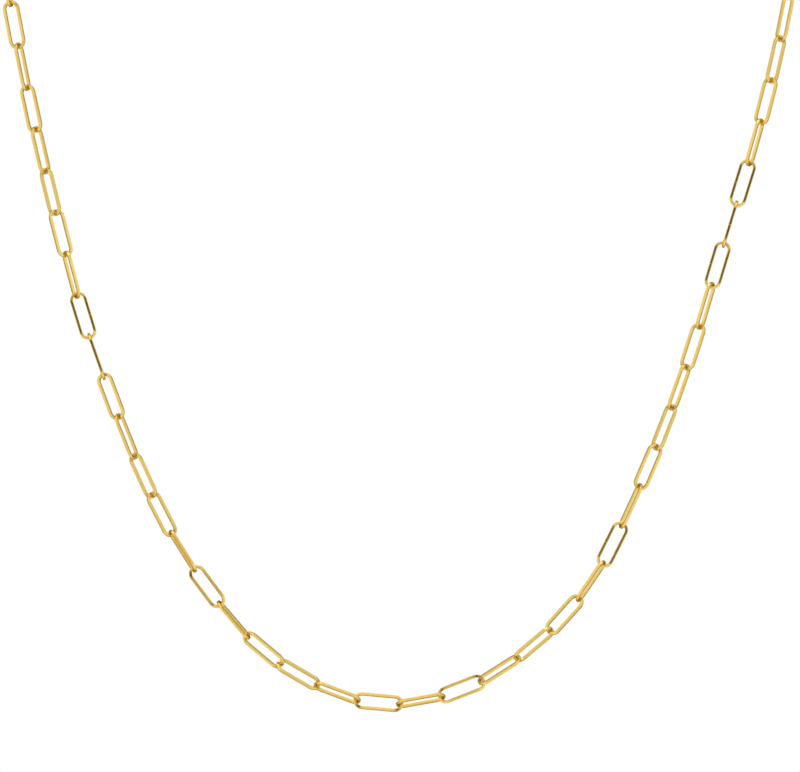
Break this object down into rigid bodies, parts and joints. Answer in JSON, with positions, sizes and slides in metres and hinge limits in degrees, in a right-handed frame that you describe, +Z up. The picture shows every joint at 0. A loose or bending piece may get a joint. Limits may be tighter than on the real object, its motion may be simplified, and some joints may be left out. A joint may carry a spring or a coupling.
{
  "type": "chain choker",
  "caption": "Fine gold chain choker of long oval links bent from square wire, in the drape it has when worn, closed behind the neck by a plain spring-ring clasp.",
  "frame": {"origin": "middle of the neck opening seen from above, at the height where the chain levels out behind the neck", "axes": "+Z up along the neck, the front of the choker faces -Y, +X to the right of someone facing it"},
  "size_m": [0.1061, 0.0892, 0.1089],
  "materials": {
    "chain_gold": "polished pale yellow gold",
    "clasp_gold": "polished pale yellow gold"
  },
  "bodies": {
    "root": {"chain_left": "chain_gold", "chain_right": "chain_gold", "clasp": "clasp_gold"}
  },
  "joints": []
}
